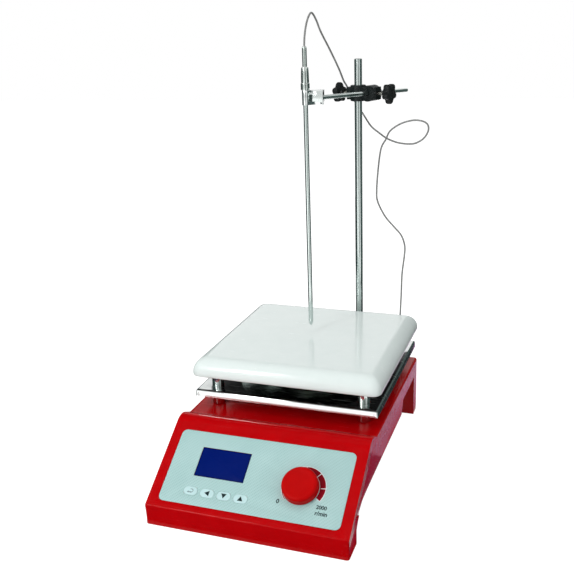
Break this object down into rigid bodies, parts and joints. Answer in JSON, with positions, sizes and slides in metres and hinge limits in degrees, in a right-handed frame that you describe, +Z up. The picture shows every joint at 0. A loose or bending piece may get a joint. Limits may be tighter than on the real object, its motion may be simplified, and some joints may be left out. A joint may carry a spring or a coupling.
{
  "type": "magnetic stirrer hotplate",
  "caption": "Hot-plate magnetic stirrer with a wedge body, sloped control panel, square white plate, support rod, cross clamp, temperature probe and cord.",
  "frame": {"origin": "on the bench plane, centred under the whole object", "axes": "+Z up, controls face -Y, +X to the user's right"},
  "size_m": [0.1893, 0.3676, 0.4218],
  "materials": {
    "red_paint": "gloss",
    "black_steel": "satin",
    "rubber": "matte",
    "foil": "satin",
    "display": "gloss",
    "pale_plastic": "satin",
    "board": "satin",
    "knob_red": "satin",
    "steel": "satin",
    "stainless": "polished",
    "zinc": "satin",
    "magnet": "satin",
    "enamel": "enamelled white",
    "mica": "matte",
    "wool": "matte",
    "black_cast": "black painted",
    "black_plastic": "satin",
    "cord": "satin",
    "transformer": "satin"
  },
  "bodies": {
    "base": {"bottom_cover": "black_steel", "control_board": "board", "control_panel": "foil", "cover_screw_1": "zinc", "cover_screw_2": "zinc", "cover_screw_3": "zinc", "cover_screw_4": "zinc", "drip_tray": "stainless", "drive_motor": "zinc", "foot_front_left": "rubber", "foot_front_right": "rubber", "foot_rear_left": "rubber", "foot_rear_right": "rubber", "heater": "mica", "heater_cover": "steel", "hot_plate": "enamel", "housing": "red_paint", "insulation": "wool", "lcd_module": "pale_plastic", "lcd_window": "display", "motor_bracket": "zinc", "post_front_left": "stainless", "post_front_right": "stainless", "post_rear_left": "stainless", "post_rear_right": "stainless", "power_board": "board", "power_inlet": "black_plastic", "power_switch": "black_plastic", "probe_cord_base": "cord", "probe_plug": "black_plastic", "probe_socket": "steel", "rod_holder": "black_cast", "shaft_seal": "rubber", "speed_encoder": "black_plastic", "transformer": "transformer"},
    "knob": {"knob": "knob_red", "knob_shaft": "steel"},
    "key_enter": {"key_enter": "pale_plastic"},
    "key_left": {"key_left": "pale_plastic"},
    "key_down": {"key_down": "pale_plastic"},
    "key_up": {"key_up": "pale_plastic"},
    "rotor": {"motor_shaft": "steel", "magnet_carrier": "zinc", "magnet_north": "magnet", "magnet_south": "magnet"},
    "switch_rocker": {"switch_rocker": "black_plastic"},
    "fuse_drawer": {"fuse_drawer": "black_plastic"},
    "holder_screw": {"holder_screw": "black_plastic"},
    "rod": {"support_rod": "stainless"},
    "clamp": {"boss_head": "black_cast", "probe_cord_clamp": "cord"},
    "rod_screw": {"rod_screw": "black_plastic"},
    "arm_screw": {"arm_screw": "black_plastic"},
    "arm": {"clamp_arm": "stainless", "probe_clip": "stainless", "probe_cord_arm": "cord"},
    "probe": {"probe_sheath": "stainless", "probe_handle": "steel", "probe_sleeve": "steel", "probe_cord_top": "cord"}
  },
  "joints": [
    {"name": "knob_turn", "type": "hinge", "parent": "base", "child": "knob", "pos_m": [0.0413, -0.15115, 0.04001], "axis": [0, -0.5505, 0.8348], "range_deg": [-250, 0]},
    {"name": "key_enter_press", "type": "slide", "parent": "base", "child": "key_enter", "axis": [0, 0.5505, -0.8348], "range_m": [0, 0.0006], "stiffness_N_per_m": 2000},
    {"name": "key_left_press", "type": "slide", "parent": "base", "child": "key_left", "axis": [0, 0.5505, -0.8348], "range_m": [0, 0.0006], "stiffness_N_per_m": 2000},
    {"name": "key_down_press", "type": "slide", "parent": "base", "child": "key_down", "axis": [0, 0.5505, -0.8348], "range_m": [0, 0.0006], "stiffness_N_per_m": 2000},
    {"name": "key_up_press", "type": "slide", "parent": "base", "child": "key_up", "axis": [0, 0.5505, -0.8348], "range_m": [0, 0.0006], "stiffness_N_per_m": 2000},
    {"name": "rotor_spin", "type": "hinge", "parent": "base", "child": "rotor", "pos_m": [0, 0.0127, 0.0619], "axis": [0, 0, 1], "continuous": true},
    {"name": "switch_tilt", "type": "hinge", "parent": "base", "child": "switch_rocker", "pos_m": [-0.0105, 0.1027, 0.043], "axis": [1, 0, 0], "range_deg": [0, 16]},
    {"name": "fuse_drawer_pull", "type": "slide", "parent": "base", "child": "fuse_drawer", "axis": [0, 1, 0], "range_m": [0, 0.02]},
    {"name": "holder_screw_turn", "type": "hinge", "parent": "base", "child": "holder_screw", "pos_m": [0.024, 0.1132, 0.044], "axis": [0, 1, 0], "range_deg": [0, 720]},
    {"name": "rod_turn", "type": "hinge", "parent": "base", "child": "rod", "pos_m": [0.024, 0.1132, 0.058], "axis": [0, 0, 1], "range_deg": [-40, 40], "deforming": ["probe_cord_base"]},
    {"name": "clamp_height", "type": "slide", "parent": "rod", "child": "clamp", "axis": [0, 0, 1], "range_m": [-0.005, 0.02], "deforming": ["probe_cord_clamp"]},
    {"name": "rod_screw_turn", "type": "hinge", "parent": "clamp", "child": "rod_screw", "pos_m": [0.024, 0.1132, 0.343], "axis": [-0.9588, 0.284, 0], "range_deg": [0, 720]},
    {"name": "arm_screw_turn", "type": "hinge", "parent": "clamp", "child": "arm_screw", "pos_m": [0.024, 0.1132, 0.343], "axis": [0.9588, -0.284, 0], "range_deg": [0, 720]},
    {"name": "arm_slide", "type": "slide", "parent": "clamp", "child": "arm", "axis": [0.2838, 0.9582, -0.0349], "range_m": [-0.02, 0.02], "deforming": ["probe_cord_arm"]},
    {"name": "probe_lift", "type": "slide", "parent": "arm", "child": "probe", "axis": [0, 0, 1], "range_m": [0, 0.06], "deforming": ["probe_cord_top"]}
  ]
}
